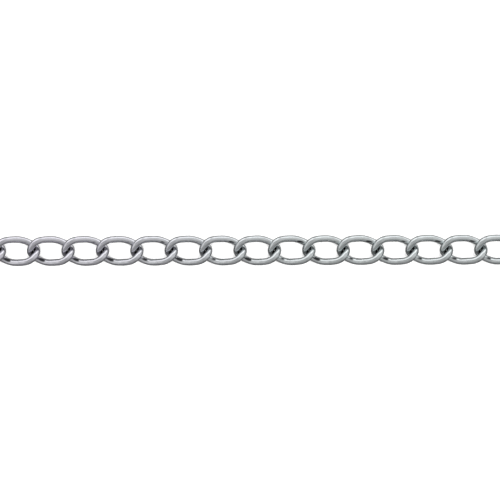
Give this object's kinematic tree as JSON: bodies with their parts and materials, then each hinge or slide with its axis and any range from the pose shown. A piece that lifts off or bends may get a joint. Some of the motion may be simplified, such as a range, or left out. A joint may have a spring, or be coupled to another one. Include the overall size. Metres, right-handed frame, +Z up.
{
  "type": "curb chain",
  "caption": "Straight length of bright plated steel curb chain: oval welded wire links, each twisted so that the chain lies flat, and each free to swing on the next.",
  "frame": {"origin": "middle of the chain's length and width, on the surface that the chain lies on", "axes": "+X along the chain from link_01 to link_18, +Y across it in the plane in which it lies flat, +Z up"},
  "size_m": [0.3036, 0.0142, 0.0074],
  "materials": {
    "plated_steel": "gloss"
  },
  "bodies": {
    "link_01": {"link_01": "plated_steel"},
    "link_02": {"link_02": "plated_steel"},
    "link_03": {"link_03": "plated_steel"},
    "link_04": {"link_04": "plated_steel"},
    "link_05": {"link_05": "plated_steel"},
    "link_06": {"link_06": "plated_steel"},
    "link_07": {"link_07": "plated_steel"},
    "link_08": {"link_08": "plated_steel"},
    "link_09": {"link_09": "plated_steel"},
    "link_10": {"link_10": "plated_steel"},
    "link_11": {"link_11": "plated_steel"},
    "link_12": {"link_12": "plated_steel"},
    "link_13": {"link_13": "plated_steel"},
    "link_14": {"link_14": "plated_steel"},
    "link_15": {"link_15": "plated_steel"},
    "link_16": {"link_16": "plated_steel"},
    "link_17": {"link_17": "plated_steel"},
    "link_18": {"link_18": "plated_steel"}
  },
  "joints": [
    {"name": "swing_02", "type": "hinge", "parent": "link_01", "child": "link_02", "pos_m": [-0.132, 0, 0.00347], "axis": [0, 0, 1], "range_deg": [-8, 8]},
    {"name": "swing_03", "type": "hinge", "parent": "link_02", "child": "link_03", "pos_m": [-0.1155, 0, 0.00347], "axis": [0, 0, 1], "range_deg": [-8, 8]},
    {"name": "swing_04", "type": "hinge", "parent": "link_03", "child": "link_04", "pos_m": [-0.099, 0, 0.00347], "axis": [0, 0, 1], "range_deg": [-8, 8]},
    {"name": "swing_05", "type": "hinge", "parent": "link_04", "child": "link_05", "pos_m": [-0.0825, 0, 0.00347], "axis": [0, 0, 1], "range_deg": [-8, 8]},
    {"name": "swing_06", "type": "hinge", "parent": "link_05", "child": "link_06", "pos_m": [-0.066, 0, 0.00347], "axis": [0, 0, 1], "range_deg": [-8, 8]},
    {"name": "swing_07", "type": "hinge", "parent": "link_06", "child": "link_07", "pos_m": [-0.0495, 0, 0.00347], "axis": [0, 0, 1], "range_deg": [-8, 8]},
    {"name": "swing_08", "type": "hinge", "parent": "link_07", "child": "link_08", "pos_m": [-0.033, 0, 0.00347], "axis": [0, 0, 1], "range_deg": [-8, 8]},
    {"name": "swing_09", "type": "hinge", "parent": "link_08", "child": "link_09", "pos_m": [-0.0165, 0, 0.00347], "axis": [0, 0, 1], "range_deg": [-8, 8]},
    {"name": "swing_10", "type": "hinge", "parent": "link_09", "child": "link_10", "pos_m": [0, 0, 0.00347], "axis": [0, 0, 1], "range_deg": [-8, 8]},
    {"name": "swing_11", "type": "hinge", "parent": "link_10", "child": "link_11", "pos_m": [0.0165, 0, 0.00347], "axis": [0, 0, 1], "range_deg": [-8, 8]},
    {"name": "swing_12", "type": "hinge", "parent": "link_11", "child": "link_12", "pos_m": [0.033, 0, 0.00347], "axis": [0, 0, 1], "range_deg": [-8, 8]},
    {"name": "swing_13", "type": "hinge", "parent": "link_12", "child": "link_13", "pos_m": [0.0495, 0, 0.00347], "axis": [0, 0, 1], "range_deg": [-8, 8]},
    {"name": "swing_14", "type": "hinge", "parent": "link_13", "child": "link_14", "pos_m": [0.066, 0, 0.00347], "axis": [0, 0, 1], "range_deg": [-8, 8]},
    {"name": "swing_15", "type": "hinge", "parent": "link_14", "child": "link_15", "pos_m": [0.0825, 0, 0.00347], "axis": [0, 0, 1], "range_deg": [-8, 8]},
    {"name": "swing_16", "type": "hinge", "parent": "link_15", "child": "link_16", "pos_m": [0.099, 0, 0.00347], "axis": [0, 0, 1], "range_deg": [-8, 8]},
    {"name": "swing_17", "type": "hinge", "parent": "link_16", "child": "link_17", "pos_m": [0.1155, 0, 0.00347], "axis": [0, 0, 1], "range_deg": [-8, 8]},
    {"name": "swing_18", "type": "hinge", "parent": "link_17", "child": "link_18", "pos_m": [0.132, 0, 0.00347], "axis": [0, 0, 1], "range_deg": [-8, 8]}
  ]
}
